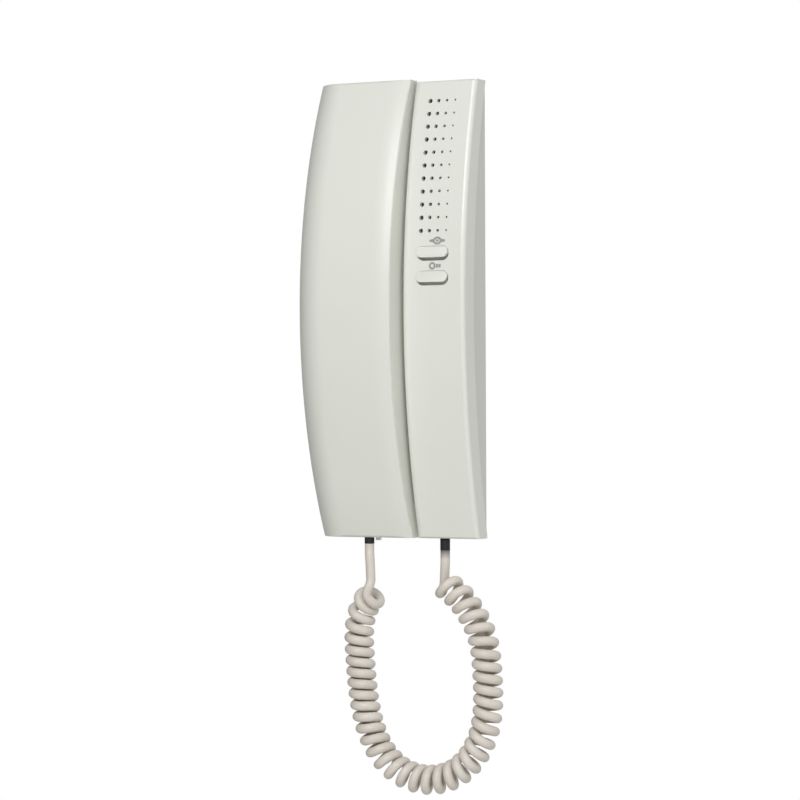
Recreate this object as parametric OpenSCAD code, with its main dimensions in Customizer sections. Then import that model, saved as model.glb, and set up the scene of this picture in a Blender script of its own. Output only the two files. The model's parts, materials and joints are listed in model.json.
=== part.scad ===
// Wall intercom telephone: a base that is fixed to the wall, an arched handset that hangs on it,
// and a curly cord between them. Sizes are in millimetres. +Z is up, +X is to the right seen from
// the front and +Y goes into the wall, so a depth is a distance off the wall along -Y.
// The origin is the middle of the wall face.

/* [Case] */
// Width of the whole set
case_w = 88; // [84:1:94]
// Height of the handset and the base
case_h = 218; // [212:1:226]
// Wall thickness of the mouldings
wall = 2; // [1.6:0.1:2.2]
// Gap between pieces that are fitted together
fit = 0.3; // [0.2:0.05:0.4]

/* [Base] */
// Width of the raised strip with the speaker and the buttons
strip_w = 32.6; // [32:0.1:36]
// How far the top of the base sits below the top of the handset
base_drop = 1.2; // [0.6:0.2:3]
// Depth of the strip at the middle of its height
base_depth = 25.6; // [24.6:0.2:28]
// Depth of the strip at its ends
base_end_depth = 9.7; // [9.4:0.1:11]
// Rounding of the strip's edge beside the handset
strip_left_round = 3.6; // [2.5:0.1:4]
// Rounding of the strip's outer edge
strip_right_round = 2; // [1:0.1:3]
// Rounding of the top and bottom edges of the base
base_end_round = 1.5; // [1:0.1:2]
// Depth of the arched seam between cover and rear housing at mid height
seam_depth = 14; // [13:0.2:15]
// How far the arched seam stays from the ends of the case
seam_margin = 2.5; // [2:0.1:4]
// Open width of the seam
seam_gap = 0.2; // [0.1:0.05:0.4]
// How far the rear housing is set in from the cover's side
rear_inset = 0.4; // [0.2:0.1:0.8]
// Height of the lip that locates the cover on the rear housing
lip_h = 2; // [1.5:0.1:3]
// Thickness of that lip
lip_t = 1.3; // [1:0.1:1.5]
// Thickness of the wall plate's floor
plate_t = 2; // [1.6:0.1:2.2]

/* [Cradle] */
// Distance of the cradle's ends from the ends of the case
cradle_margin = 17; // [16:0.5:21]
// Depth of the cradle's face
cradle_depth = 6; // [5.6:0.1:6.4]
// Thickness of the cradle's face and rim
cradle_t = 1.8; // [1.4:0.1:2]
// Rounding of the cradle's free corners
cradle_round = 4; // [3:0.5:8]
// Width of the block that carries the hook lug and the plunger
hook_block_w = 19.9; // [18:0.1:22]
// Height of that block
hook_block_h = 26; // [25.6:0.2:28]
// Height of the block's lower end over the middle of the case
hook_block_z = 31; // [30:0.5:32]
// Depth of the block's face
hook_block_depth = 11.6; // [11.2:0.1:12]
// Width of the lug that the handset hangs on
lug_w = 9; // [6:0.5:10]
// Thickness of the lug
lug_t = 3; // [2:0.1:3.2]
// Length of the lug past the block's face
lug_len = 9; // [7:0.5:10]
// Rise of the lug, and of the way the handset lifts, over the horizontal
lug_angle = 35; // [30:1:36]
// Height of the lug's root over the block's lower end
lug_rise = 5.2; // [4.8:0.1:5.6]
// Clearance round the lug in the handset's window
lug_clear = 0.4; // [0.3:0.05:0.6]
// Diameter of the cradle's rubber pads
pad_d = 8; // [6:0.5:10]
// Distance of each pad from the cradle's end
pad_margin = 12; // [8:0.5:18]
// Distance of the cover screws from the cradle's ends
cover_screw_margin = 30; // [26:0.5:34]
// Distance of the cover screws from the cradle's free side
cover_screw_inset = 18; // [14:0.5:22]

/* [Hook switch] */
// Diameter of the plunger
plunger_d = 5; // [4:0.2:5.4]
// Height of the plunger over the block's lower end
plunger_rise = 17; // [16.6:0.1:17.4]
// Travel of the plunger
plunger_travel = 3; // [2.4:0.1:3.2]
// Diameter of the plunger's flange
flange_d = 9; // [8.4:0.2:9.6]
// Thickness of the plunger's flange
flange_t = 1.2; // [1:0.1:1.4]
// Outside diameter of the plunger's spring
spring_d = 7; // [6.6:0.1:8]
// Diameter of the spring's wire
spring_wire = 0.5; // [0.4:0.05:0.6]
// Turns of the spring
spring_turns = 3; // [2:1:3]
// Size of the switch across, up and off the wall plate
switch_size = [6.6, 8, 2.4]; // [2:0.1:9]

/* [Grille and speaker] */
// Rows of grille holes
grille_rows = 11; // [8:1:11]
// Diameters of the grille holes from the handset side outwards
grille_d = [2.2, 1.8, 1.4, 1]; // [0.6:0.1:2.6]
// Pitch of the rows
grille_row_pitch = 6.2; // [5.8:0.1:6.2]
// Pitch of the columns
grille_column_pitch = 4.33; // [3.8:0.1:4.6]
// Distance of the top row below the top of the base
grille_margin = 9.8; // [8:0.1:10.4]
// Thickness of the felt behind the grille
felt_t = 0.4; // [0.3:0.1:0.6]
// Margin of the felt round the holes
felt_margin = 3; // [2.5:0.1:3.2]
// Diameter of the loudspeaker
speaker_d = 25.8; // [24:0.2:26]
// Width of the ring that carries the loudspeaker
speaker_rim = 2.6; // [2:0.1:3]
// Depth of the loudspeaker's basket
basket_h = 6.3; // [5:0.1:7]
// Diameter of the magnet
magnet_d = 13.6; // [12:0.2:14]
// Height of the magnet
magnet_h = 3.4; // [3:0.1:4]
// Thickness of the speaker's gasket
speaker_gasket_t = 0.8; // [0.5:0.1:1]

/* [Buttons] */
// Width of a button
button_w = 15.8; // [14:0.2:18]
// Height of a button
button_h = 5.2; // [4.8:0.1:6]
// How far a button stands proud of the cover at its lower edge
button_proud = 1.6; // [1.1:0.1:1.8]
// How far a button stands proud of the cover at its upper edge
button_top_proud = 0.3; // [0.2:0.1:0.8]
// Travel of a button
button_travel = 1; // [0.6:0.1:1.2]
// Distance of the upper button below the lowest row of holes
door_gap = 10; // [9:0.1:12]
// Distance between the two buttons
button_pitch = 11.6; // [10:0.1:13]
// Distance of the buttons from the middle of the strip, towards the handset
button_side = 0.15; // [0:0.05:0.4]
// Clearance over a button and at its left end in the cover
button_clear = 0.15; // [0.12:0.01:0.25]
// How much wider the opening is below a button, where the finger pushes
button_gap_low = 1.4; // [0.8:0.1:1.5]
// How much wider the opening is at a button's right end
button_gap_right = 0.4; // [0.2:0.1:0.6]
// Flange that keeps a button behind the cover
button_flange = 2.1; // [2:0.1:2.4]
// Diameter of a button's stem
stem_d = 4; // [3:0.2:4.6]
// Diameter of the rubber dome under a button
dome_d = 9; // [8:0.2:10]
// Height of the rubber dome
dome_h = 5; // [4:0.1:5.4]

/* [Circuit] */
// Width of the circuit board
board_w = 25.6; // [24:0.2:25.8]
// Distance of the circuit board's lower edge from the bottom of the case
board_margin = 53; // [48:0.5:56]
// Thickness of the circuit board
board_t = 1.6; // [1.2:0.1:1.8]
// Height of the circuit board's upper edge over the upper button
board_rise = 7.3; // [7:0.1:9]
// Depth of the posts under the circuit board
board_depth = 9; // [8.6:0.1:9.4]
// Distance of the board's screws from its edges
board_screw_inset = 3; // [2.8:0.1:3.4]
// Diameter of the board's screws
board_screw_d = 2.5; // [2:0.1:2.8]
// Length of the board's screws in their posts
board_screw_len = 5; // [4:0.5:5.5]
// Height of the board's screw heads
board_head_h = 1.8; // [1.2:0.1:2]
// Gap between the pieces on the board
part_gap = 2; // [1:0.1:2.4]
// Size of the sound chip across, up and off the board
chip_size = [8, 12, 2]; // [1:0.5:14]
// Diameter and height of the two large capacitors
capacitor_size = [6.4, 7]; // [4:0.1:9]
// Diameter and height of the small capacitor
small_capacitor_size = [5, 6]; // [4:0.1:8]
// Diameter and height of the volume trimmer
trimmer_size = [7, 3]; // [2:0.1:8]
// Poles of the terminal block
terminal_poles = 5; // [3:1:5]
// Pitch of the terminal block's poles
terminal_pitch = 4.2; // [3.8:0.1:4.4]
// Size of the terminal block up and off the board
terminal_size = [9, 8]; // [5:0.1:12]
// Width and height of the cable entry in the wall plate
entry_size = [15, 18]; // [10:0.5:20]
// Distance of the cable entry below the circuit board
entry_gap = 8; // [6:0.5:10]

/* [Wall fixing] */
// Distance of the wall screws from the ends of the case
fixing_margin = 17; // [12:0.5:18]
// Diameter of the wall screw holes
fixing_d = 4.5; // [4:0.1:5]

/* [Handset] */
// Gap between the handset and the strip
handset_gap = 1.5; // [0.8:0.1:1.8]
// Depth of the handset's front at mid height
handset_depth = 36.2; // [35:0.2:38]
// Depth of the handset's front at its ends
handset_end_depth = 12; // [11.8:0.1:12.6]
// Depth of the handset's back at mid height
back_depth = 16; // [15.6:0.1:16.4]
// Depth of the handset's back at its ends
back_end_depth = 3.5; // [3.2:0.1:3.7]
// Rounding of the handset's free edge
handset_left_round = 18; // [16:0.5:20]
// Rounding of the handset's edge beside the strip
handset_right_round = 1; // [0.6:0.1:1.4]
// Width over which the handset's front falls away towards that edge
handset_crown_w = 9; // [7:0.5:11]
// How far it falls away there
handset_crown_drop = 1; // [0.6:0.1:1.2]
// Rounding of the handset's top and bottom edges
handset_end_round = 2; // [1:0.1:2.2]
// Distance of the ear capsule from the top of the handset
ear_margin = 37; // [34:0.5:41]
// Diameter of the ear capsule
ear_d = 30; // [27:0.5:31]
// Thickness of the ear capsule
ear_t = 5.5; // [4.5:0.1:5.8]
// Thickness of the ear capsule's gasket
ear_gasket_t = 1; // [0.6:0.1:1.2]
// Distance of the microphone from the bottom of the handset
mic_margin = 29; // [25:0.5:33]
// Diameter of the microphone
mic_d = 9.7; // [8:0.1:10]
// Thickness of the microphone
mic_t = 5; // [4:0.1:5.2]
// Wall of the microphone's rubber boot
boot_wall = 1.6; // [1.2:0.1:2]
// Height of the ribs that locate the capsules
rib_h = 4; // [3:0.1:5]
// Thickness of those ribs
rib_t = 1.2; // [1:0.1:1.4]
// Diameter of the ear holes
ear_hole_d = 2; // [1.4:0.1:2.2]
// Diameter of the mouth holes
mouth_hole_d = 1.5; // [1:0.1:2]

/* [Screws] */
// Diameter of the case screws
case_screw_d = 2.9; // [2.5:0.1:3.2]
// Diameter of the case screws' heads
case_head_d = 5.5; // [5:0.1:6]
// Height of the case screws' heads
case_head_h = 1.6; // [1.2:0.1:2]
// Length of the handset's screws in their posts
case_screw_len = 7; // [5:0.5:8]
// Wall of the bosses round the screws
boss_wall = 1.75; // [1.5:0.05:2]
// Distance of the handset's upper screw from its middle line
handset_screw_side = 9; // [8:0.5:10]
// Height of the handset's upper screw over its middle
handset_screw_rise = 40; // [36:1:44]
// Distance of the handset's lower screw under its middle
handset_screw_drop = 45; // [42:1:48]

/* [Cord] */
// Diameter of the cord
cord_d = 4.5; // [4:0.1:4.6]
// Radius of the curls at the middle of the cord
curl_r = 4.95; // [4.6:0.05:5.2]
// Clear gap between neighbouring curls, on the inside of a bend
curl_gap = 0.6; // [0.55:0.05:1]
// How much wider the curls are spaced at the base, where they carry the most
curl_stretch = 1.1; // [1:0.01:1.2]
// Diameter of the cord sleeves
sleeve_d = 4.7; // [4.6:0.1:5]
// Clearance round the cord sleeves in the case
sleeve_clear = 0.05; // [0.02:0.01:0.1]
// How far the base's cord sleeve stands out of the case
base_sleeve_out = 5.6; // [3:0.1:6]
// How far the handset's cord sleeve stands out of the case
handset_sleeve_out = 3; // [2:0.1:4]
// How far the cord sleeves reach in behind the wall of the case
sleeve_in = 4; // [3:0.1:5]

// Width of the sleeves' collars
sleeve_collar_w = 8; // [7:0.2:9]
// Depth of the base sleeve's collar
base_collar_d = 5.6; // [5.2:0.1:6]
// Depth of the handset sleeve's collar
handset_collar_d = 3.6; // [3.4:0.1:3.8]
// Distance of the handset's nib from its cord
nib_side = 4.4; // [4.2:0.1:4.8]

/* [Hidden] */
$fn = 64;
cut = 0.1;

// Overall places
half_w = case_w / 2;
half_h = case_h / 2;
base_top = half_h - base_drop;
strip_x = half_w - strip_w;
strip_mid = half_w - strip_w / 2;
handset_x = strip_x - handset_gap;
handset_mid = (handset_x - half_w) / 2;
crown_r = (handset_crown_w * handset_crown_w + handset_crown_drop * handset_crown_drop)
    / (2 * handset_crown_drop);

// Arches, each a circle about an axis along X
function arch_r(half, rise) = (half * half + rise * rise) / (2 * rise);
function arch_at(r, depth, z) = depth - r + sqrt(r * r - z * z);
base_r = arch_r(half_h, base_depth - base_end_depth);
handset_r = arch_r(half_h, handset_depth - handset_end_depth);
back_r = arch_r(half_h, back_depth - back_end_depth);
seam_r = arch_r(half_h - seam_margin, seam_depth);
function base_front(z) = arch_at(base_r, base_depth, z);
function handset_front(z) = arch_at(handset_r, handset_depth, z);
function handset_back_at(z) = arch_at(back_r, back_depth, z);

// Cradle and hook
cradle_half = half_h - cradle_margin;
cradle_under = cradle_depth - cradle_t;
block_x = strip_x - hook_block_w + wall;
block_top = hook_block_z + hook_block_h;
block_mid = (block_x + strip_x) / 2;
block_inside = hook_block_depth - cradle_t;
lug_z = hook_block_z + lug_rise;
plunger_z = hook_block_z + plunger_rise;
plunger_tip = handset_back_at(plunger_z + plunger_d / 2) - fit;
flange_top = block_inside - fit - plunger_travel;
flange_low = flange_top - flange_t;
plunger_x = block_x + cradle_t + fit + flange_d / 2;
arm_end = plunger_x + flange_d / 2 + 2.2;
switch_x = plunger_x + spring_d / 2 + fit;
pad_z = cradle_half - pad_margin;
pad_face = handset_back_at(pad_z + pad_d / 2) - fit;
cover_screw_x = -half_w + cover_screw_inset;
cover_screw_z = cradle_half - cover_screw_margin;

// Grille, speaker and buttons
grille_columns = len(grille_d);
grille_half_w = (grille_columns - 1) * grille_column_pitch / 2;
grille_half_h = (grille_rows - 1) * grille_row_pitch / 2;
speaker_z = base_top - grille_margin - grille_half_h;
grille_z = speaker_z - grille_half_h;
felt_half_w = grille_half_w + felt_margin;
gasket_from = wall + felt_t + fit;
frame_from = gasket_from + speaker_gasket_t;
basket_to = frame_from + basket_h;
button_x = strip_mid - button_side;
door_z = grille_z - door_gap;
light_z = door_z - button_pitch;
flange_half_w = button_w / 2 + button_flange;
flange_half_h = button_h / 2 + button_flange;
function flange_face(z) = base_front(z + flange_half_h) - wall - fit;

// Circuit
board_face = board_depth + board_t;
board_x = strip_x + wall + 1.1;
board_top = door_z + board_rise;
board_low = -half_h + board_margin;
board_screws_x = [board_x + board_screw_inset, board_x + board_w - board_screw_inset];
board_screws_z = [board_low + board_screw_inset, board_top - board_screw_inset - 1];
terminal_w = terminal_poles * terminal_pitch;
terminal_z = board_low + 2 * board_screw_inset + 2;
entry_top = board_low - entry_gap;
parts_top = light_z - dome_d / 2 - part_gap;
parts_left = board_x + part_gap + chip_size[0] / 2;
parts_right = board_x + board_w - part_gap - trimmer_size[0] / 2;
capacitor_z = parts_top - capacitor_size[0] / 2;
capacitor_step = capacitor_size[0] + part_gap;
small_capacitor_z = parts_top - chip_size[1] - part_gap - small_capacitor_size[0] / 2;
trimmer_z = capacitor_z - capacitor_step - (capacitor_size[0] + trimmer_size[0]) / 2 - part_gap;
dome_face = board_face + dome_h;
stem_end = dome_face + 0.05;

// Handset
ear_z = half_h - ear_margin;
mic_drop = half_h - mic_margin;
handset_screw_places = [[handset_mid - handset_screw_side, handset_screw_rise],
    [handset_mid, -handset_screw_drop]];
cord_handset = [-14.2, 8.3];
cord_base = [24.4, 5.2];
base_cord_low = -half_h - base_sleeve_out;
handset_cord_low = -half_h - handset_sleeve_out;
nib_x = cord_handset[0] + nib_side;

// Helpers: a rod along Y, a box between two depths, a drum along X
module rod(x, z, d0, d1, r) translate([x, -d0, z]) rotate([90, 0, 0]) cylinder(r = r, h = d1 - d0);
module box(x0, x1, d0, d1, z0, z1) translate([x0, -d1, z0]) cube([x1 - x0, d1 - d0, z1 - z0]);
module drum(r, depth, x0, x1) translate([x0, r - depth, 0]) rotate([0, 90, 0])
    cylinder(r = r, h = x1 - x0, $fn = 256);
module arched(r, depth) translate([0, r - depth, 0]) rotate([0, 90, 0]) rotate_extrude($fn = 256) children();
module plate(d0, d1) translate([0, -d0, 0]) rotate([90, 0, 0]) linear_extrude(d1 - d0) children();
module across(x0, x1) translate([x0, 0, 0]) rotate([90, 0, 90]) linear_extrude(x1 - x0) children();

// Places something on an arch, with its +Z off the wall or into the case
module on_back(x, z) translate([0, back_r - back_depth, 0]) rotate([-asin(z / back_r), 0, 0])
    translate([x, -back_r, 0]) rotate([90, 0, 0]) children();
module behind_cover(x, z) translate([0, base_r - base_depth, 0]) rotate([-asin(z / base_r), 0, 0])
    translate([x, -base_r, 0]) rotate([-90, 0, 0]) children();

// Section of a bar, with the corners of its outer face rounded
module corner_cut(u, v, r, side) difference() {
    translate([u - r, side > 0 ? v - r : v - 1]) square([r + 1, r + 1]);
    translate([u - r, v - side * r]) circle(r);
}
module bar_section(u0, u1, v0, v1, r0, r1) difference() {
    translate([u0, v0]) square([u1 - u0, v1 - v0]);
    corner_cut(u1, v0, r0, -1);
    corner_cut(u1, v1, r1, 1);
}

// Side outline of an arched bar, with its ends rounded into the arch
module side_outline(r, depth, low, high, round_r) {
    middle = r - depth;
    for (z_end = [low, high]) {
        z_round = abs(z_end) - round_r;
        y_round = middle - sqrt((r - round_r) * (r - round_r) - z_round * z_round);
        z_touch = r * z_round / (r - round_r);
        s = sign(z_end);
        mirror([0, s > 0 ? 0 : 1]) {
            intersection() {
                translate([middle, 0]) circle(r, $fn = 256);
                translate([-3 * depth, 0]) square([6 * depth, z_touch]);
            }
            translate([y_round, 0]) square([3 * depth - y_round, abs(z_end)]);
            translate([y_round, z_round]) circle(round_r);
        }
    }
}

// Outer forms of the strip and the handset, drawn in by an offset
module strip_form(o) intersection() {
    arched(base_r, base_depth) bar_section(base_r - 2 * base_depth, base_r - o, strip_x + o, half_w - o,
        max(strip_left_round - o, 0.5), max(strip_right_round - o, 0.5));
    box(strip_x, half_w, 0, 2 * base_depth, -half_h + o, base_top - o);
}
module handset_section(o) {
    u0 = handset_r - 1.5 * handset_depth;
    v0 = -half_w + o;
    v1 = handset_x - o;
    crown = [handset_r - crown_r, handset_x - handset_crown_w];
    edge_r = max(handset_right_round - o, 0.5);
    edge_v = v1 - edge_r - crown[1];
    edge_u = crown[0] + sqrt((crown_r - o) * (crown_r - o) - edge_v * edge_v) + cut / 4;
    difference() {
        translate([u0, v0]) square([handset_r - o - u0, v1 - v0]);
        corner_cut(handset_r - o, v0, handset_left_round - o, -1);
        difference() {
            translate([edge_u - 2, crown[1]]) square([4, handset_crown_w + 1]);
            translate(crown) circle(crown_r - o, $fn = 256);
        }
        corner_cut(edge_u, v1, edge_r, 1);
    }
}
module handset_form(o) intersection() {
    arched(handset_r, handset_depth) handset_section(o);
    box(-half_w, handset_x, 0, 2 * handset_depth, -half_h + o, half_h - o);
}
module cradle_outline(o) {
    r = cradle_round - o / 2;
    x0 = -half_w + o;
    z1 = cradle_half - o;
    translate([x0 + r, -z1]) square([strip_x + wall - x0 - r, 2 * z1]);
    translate([x0, -z1 + r]) square([2 * r, 2 * (z1 - r)]);
    for (s = [-1, 1]) translate([x0 + r, s * (z1 - r)]) circle(r);
}
module stadium(w, h) {
    square([w - h, h], center = true);
    for (s = [-1, 1]) translate([s * (w - h) / 2, 0]) circle(h / 2);
}
module lug_bar(grow, from, to) translate([block_mid, -hook_block_depth, lug_z]) rotate([90 - lug_angle, 0, 0])
    translate([-lug_w / 2 - grow, -lug_t / 2 - grow, from])
    cube([lug_w + 2 * grow, lug_t + 2 * grow, to - from]);
module ring(r_in, r_out, t0, t1) translate([0, 0, t0]) difference() {
    cylinder(r = r_out, h = t1 - t0);
    translate([0, 0, -cut]) cylinder(r = r_in, h = t1 - t0 + 2 * cut);
}
module disc(r, t0, t1) translate([0, 0, t0]) cylinder(r = r, h = t1 - t0);

// A tube along points, with triangles for faces
function unit(v) = v / norm(v);
function square_to(v, t) = unit(v - (v * t) * t);
module tube(points, r, sides, first) {
    n = len(points);
    ways = [for (i = [0:n - 1]) unit(points[min(i + 1, n - 1)] - points[max(i - 1, 0)])];
    sides_way = [for (i = 0, u = square_to(first, ways[0]); i < n;
        i = i + 1, u = i < n ? square_to(u, ways[i]) : u) u];
    rim = [for (i = [0:n - 1], k = [0:sides - 1]) let (v = cross(ways[i], sides_way[i]), a = 360 * k / sides)
        points[i] + r * (cos(a) * sides_way[i] + sin(a) * v)];
    walls = [for (i = [0:n - 2], k = [0:sides - 1]) let (a = i * sides + k, b = i * sides + (k + 1) % sides)
        each [[a, a + sides, b], [b, a + sides, b + sides]]];
    end = (n - 1) * sides;
    caps = [for (k = [1:sides - 2]) each [[0, k, k + 1], [end, end + k + 1, end + k]]];
    polyhedron(points = rim, faces = concat(walls, caps), convexity = 10);
}

// Route of the curls' axis from the base to the handset, and of the two leads
curl_route = [
    [25.8, -8, -130.9], [29, -8, -133.2], [33.4, -8, -136.7], [37.4, -8, -141.4], [41, -8, -146.6],
    [43.9, -8, -152.4], [45.9, -8, -159], [47, -8, -167], [47.6, -8, -176], [47.7, -8, -185], [46.9, -8, -194],
    [44.4, -8, -203.2], [38.6, -8, -213], [29, -8, -220.8], [16.2, -8, -223.8], [3.4, -8, -221.2],
    [-6.8, -8, -213.6], [-13.3, -8, -202.6], [-16.8, -8, -190.5], [-18.6, -8, -178.5], [-19.6, -8, -167],
    [-20.1, -8, -158], [-19.7, -8, -151], [-18, -8.3, -144.8], [-14.7, -9.4, -139.5], [-10.4, -11.4, -136]
];
base_lead_route = [
    [cord_base[0], -cord_base[1], base_cord_low], [cord_base[0], -cord_base[1], base_cord_low - cord_d],
    [24.2, -4.9, -121.5], [23.9, -4.5, -124]
];
handset_lead_route = [
    [cord_handset[0], -cord_handset[1], handset_cord_low],
    [cord_handset[0], -cord_handset[1], handset_cord_low - cord_d],
    [-13, -10.2, -120.5], [-11.4, -13, -125]
];

// Smooth curve through route points, at a place u from 0 to the last point's number
function through(p, u) = let (i = min(floor(u), len(p) - 2), t = u - i, a = p[max(i - 1, 0)], b = p[i],
    c = p[i + 1], d = p[min(i + 2, len(p) - 1)])
    b + t / 2 * (c - a) + t * t / 2 * (2 * a - 5 * b + 4 * c - d) + t * t * t / 2 * (3 * b - a - 3 * c + d);
function running(parts) = [for (i = 0, s = 0; i <= len(parts); s = s + (i < len(parts) ? parts[i] : 0),
    i = i + 1) s];
function parts_of(p) = [for (i = [1:len(p) - 1]) norm(p[i] - p[i - 1])];
route_steps = 6;
route_last = (len(curl_route) - 1) * route_steps;
route_fine = [for (k = [0:route_last]) through(curl_route, k / route_steps)];
route_parts = parts_of(route_fine);
route_run = running(route_parts);
route_len = route_run[route_last];
place_at_run = [for (i = [0:route_last]) [route_run[i], i / route_steps]];
function route_at(s) = through(curl_route, lookup(min(max(s, 0), route_len), place_at_run));

// Bend of the route at a fine point, from the circle through the points one step before and after
function bend_of(a, b, c) = 2 * norm(cross(b - a, c - b)) / (norm(b - a) * norm(c - b) * norm(c - a));
function bend_at(i) = let (k = min(max(i, route_steps), route_last - route_steps))
    bend_of(route_fine[k - route_steps], route_fine[k], route_fine[k + route_steps]);

// The curls: a helix round the route. Its pitch keeps the gap on the inside of every bend, and is
// wider on the first half, which hangs from the base
curl_rings = 8;
curl_start = 75;
curl_end = 165;
end_share = (curl_end - curl_start) / 360;
function stretch_at(i) = max(1, curl_stretch - (curl_stretch - 1) * 2 * route_run[i] / route_len);
pitches = [for (i = [0:route_last]) stretch_at(i) * (cord_d + curl_gap) / (1 - curl_r * bend_at(i))];
free_turns = running([for (i = [1:route_last]) 2 * route_parts[i - 1] / (pitches[i] + pitches[i - 1])]);
turns = floor(free_turns[route_last] - end_share) + end_share;
run_at_turn = [for (i = [0:route_last]) [free_turns[i] * turns / free_turns[route_last], route_run[i]]];
function curl_point(turn) = let (s = lookup(turn, run_at_turn), a = curl_start + 360 * turn,
    way = unit(route_at(s + 0.5) - route_at(s - 0.5)), back = square_to([0, 1, 0], way),
    side = cross(way, back))
    route_at(s) + curl_r * (cos(a) * back - sin(a) * side);
curl_points = [for (k = [0:floor(turns * curl_rings)]) curl_point(k / curl_rings)];

// Bends that lead the curls into straight ends
function bend(p0, w0, p1, w1, t) = (2 * t * t * t - 3 * t * t + 1) * p0 + (t * t * t - 2 * t * t + t) * w0
    + (3 * t * t - 2 * t * t * t) * p1 + (t * t * t - t * t) * w1;
base_end = base_lead_route[3];
base_way = unit(base_lead_route[3] - base_lead_route[2]);
handset_end = handset_lead_route[3];
handset_way = unit(handset_lead_route[3] - handset_lead_route[2]);
last_curl = len(curl_points) - 1;
start_way = unit(curl_points[1] - curl_points[0]);
end_way = unit(curl_points[last_curl] - curl_points[last_curl - 1]);
base_straight = base_end + cord_d * base_way;
handset_straight = handset_end + cord_d * handset_way;
base_pull = 8;
handset_pull = 13;
curly_points = concat(
    [base_end, base_end + cord_d / 2 * base_way, base_straight],
    [for (t = [1 / 3, 2 / 3]) bend(base_straight, base_pull * base_way, curl_points[0], base_pull * start_way, t)],
    curl_points,
    [for (t = [0.2:0.2:0.8]) bend(curl_points[last_curl], handset_pull * end_way, handset_straight,
        -handset_pull * handset_way, t)],
    [handset_straight, handset_end + cord_d / 2 * handset_way, handset_end]
);
function tube_len(p) = running(parts_of(p))[len(p) - 1];

// Base: the wall plate with the rear housing's side
module wall_plate() {
    x0 = strip_x + wall + fit;
    lip_x = half_w - wall - fit;
    z0 = -half_h + wall + fit;
    z1 = base_top - wall - fit;
    boss_r = case_screw_d / 2 + boss_wall;
    post_r = board_screw_d / 2 + boss_wall;
    color("gainsboro") difference() {
        union() {
            plate(0, plate_t) cradle_outline(cradle_t + fit);
            box(x0, lip_x, 0, plate_t, z0, z1);
            box(strip_x, x0 + 1, 0, plate_t, -cradle_half + cradle_t + fit, cradle_half - cradle_t - fit);
            intersection() {
                box(lip_x - lip_t / 2, half_w - rear_inset, 0, base_depth, z0, z1);
                drum(seam_r, seam_depth, 0, half_w);
            }
            intersection() {
                box(lip_x - lip_t, lip_x, 0, base_depth, z0, z1);
                drum(seam_r + lip_h, seam_depth + lip_h, 0, half_w);
            }
            for (x = board_screws_x, z = board_screws_z) rod(x, z, plate_t - cut, board_depth, post_r);
            for (s = [-1, 1]) rod(cover_screw_x, s * cover_screw_z, plate_t - cut, cradle_under, boss_r);
            rod(plunger_x, plunger_z, plate_t - cut, plate_t + 1, spring_d / 2 - spring_wire - fit);
        }
        for (x = board_screws_x, z = board_screws_z)
            rod(x, z, plate_t + 1, board_depth + 1, board_screw_d / 2);
        for (s = [-1, 1]) rod(cover_screw_x, s * cover_screw_z, plate_t / 2, cradle_depth, case_screw_d / 2);
        for (s = [-1, 1]) rod(strip_mid, s * (half_h - fixing_margin), -1, plate_t + 1, fixing_d / 2);
        box(strip_mid - entry_size[0] / 2, strip_mid + entry_size[0] / 2, -1, plate_t + 1,
            entry_top - entry_size[1], entry_top);
    }
}

// Base: the cover with its raised strip, the cradle, the hook block and the lug
module front_cover() {
    post_angle = 35;
    post_place = speaker_d / 2 + fit + rib_t;
    color("whitesmoke") difference() {
        union() {
            difference() {
                intersection() {
                    strip_form(0);
                    across(strip_x, half_w)
                        side_outline(base_r, base_depth, -half_h, base_top, base_end_round);
                }
                strip_form(wall);
                drum(seam_r + seam_gap, seam_depth + seam_gap, strip_x + wall, half_w + 1);
                box(strip_x - 1, strip_x + wall + cut, -1, cradle_under, -cradle_half + cradle_t,
                    cradle_half - cradle_t);
            }
            difference() {
                plate(fit, cradle_depth) cradle_outline(0);
                plate(0, cradle_under) cradle_outline(cradle_t);
            }
            box(block_x, strip_x + wall, cradle_under, hook_block_depth, hook_block_z, block_top);
            lug_bar(0, -cradle_t, lug_len);
            for (side = [0, 180], s = [-1, 1]) behind_cover(strip_mid, speaker_z)
                rotate([0, 0, side + s * post_angle]) translate([post_place, 0, 0])
                disc(rib_t, wall / 2, frame_from + rib_h);
        }
        box(block_x + cradle_t, strip_x + wall + cut, 0, block_inside, hook_block_z + cradle_t,
            block_top - cradle_t);
        rod(plunger_x, plunger_z, cradle_depth, base_depth, plunger_d / 2 + fit / 2);
        for (s = [-1, 1]) rod(cover_screw_x, s * cover_screw_z, 1, cradle_depth + 1, case_screw_d / 2 + fit);
        for (c = [0:grille_columns - 1], r = [0:grille_rows - 1])
            rod(strip_mid - grille_half_w + c * grille_column_pitch, grille_z + r * grille_row_pitch,
                base_end_depth - wall, base_depth + 1, grille_d[c] / 2);
        for (z = [door_z, light_z], open = [0, 1])
            translate([button_x + open * button_gap_right / 2, 0, z - open * button_gap_low / 2])
            plate(base_end_depth, base_depth + 1) stadium(button_w + 2 * button_clear + open * button_gap_right,
                button_h + 2 * button_clear + open * button_gap_low);
        translate([cord_base[0], -cord_base[1], -half_h - 1])
            cylinder(r = sleeve_d / 2 + sleeve_clear, h = wall + 2);
    }
}

module grille_felt() color("dimgray") intersection() {
    arched(base_r, base_depth) translate([base_r - wall - felt_t, strip_mid - felt_half_w])
        square([felt_t, 2 * felt_half_w]);
    box(strip_x, half_w, 0, base_depth, grille_z - felt_margin, speaker_z + grille_half_h + felt_margin);
}

// Loudspeaker, behind the grille
module speaker_gasket() color("black") behind_cover(strip_mid, speaker_z)
    ring(speaker_d / 2 - speaker_rim, speaker_d / 2, gasket_from, frame_from);

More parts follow.
